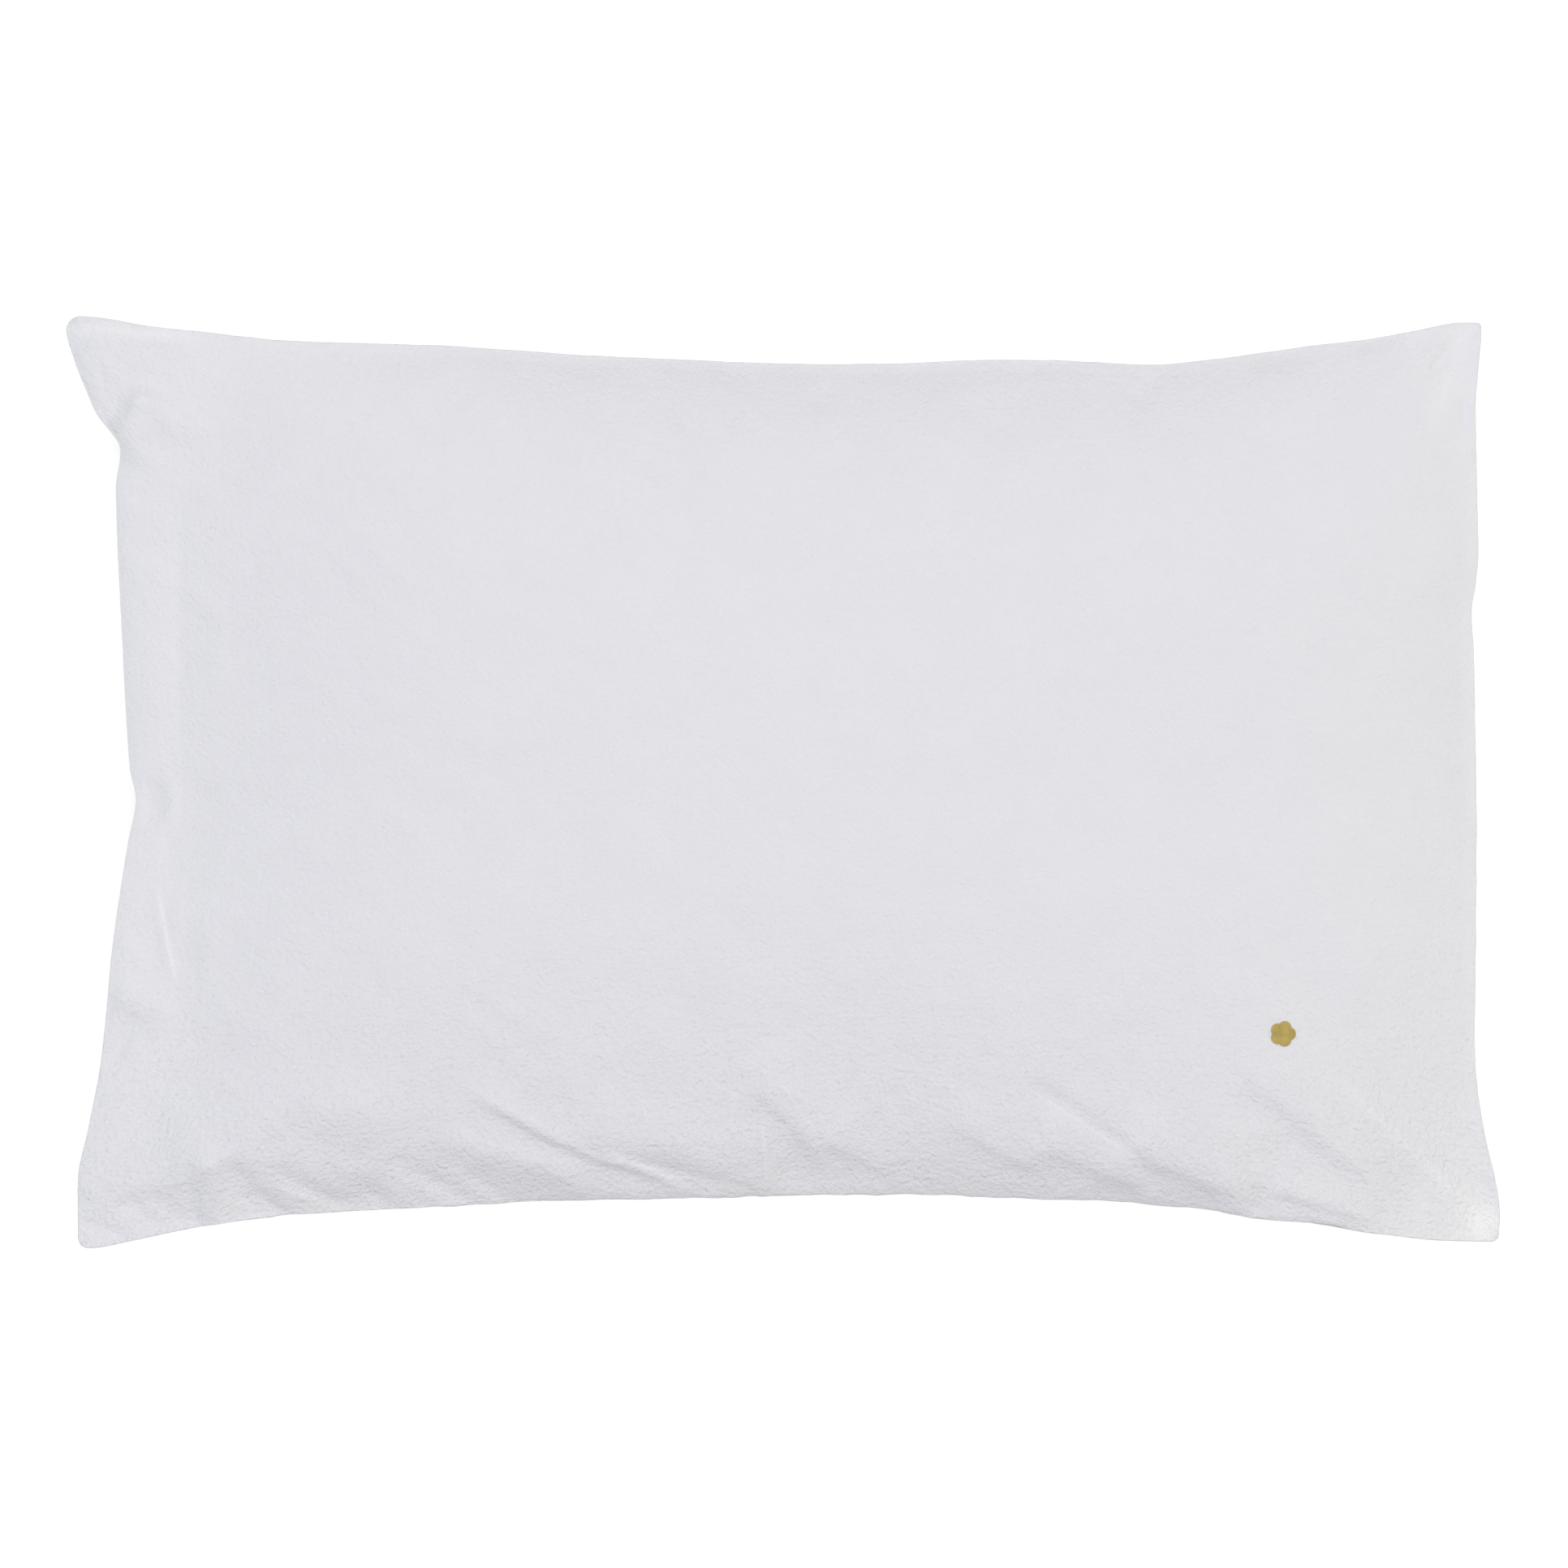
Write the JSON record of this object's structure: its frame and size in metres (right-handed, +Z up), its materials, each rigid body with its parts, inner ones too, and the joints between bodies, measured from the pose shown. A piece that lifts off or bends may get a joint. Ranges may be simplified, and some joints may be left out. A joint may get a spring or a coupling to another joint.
{
  "type": "pillowcase",
  "caption": "White washed cotton pillowcase filled by its pillow, lying on its back, with soft creases, drawn-in sides and a small gold thread blossom near a corner.",
  "frame": {"origin": "on the surface it rests on, under the middle of the outline", "axes": "+Z up, the way the face looks; +X along the case from the opening end to the sewn end; +Y across it"},
  "size_m": [0.7583, 0.4926, 0.1265],
  "materials": {
    "cotton": "washed cotton percale, matt, softly crinkled",
    "gold_thread": "metallic gold embroidery thread, satin stitches"
  },
  "bodies": {
    "root": {"pillowcase": "cotton", "embroidered_blossom": "gold_thread"}
  },
  "joints": []
}
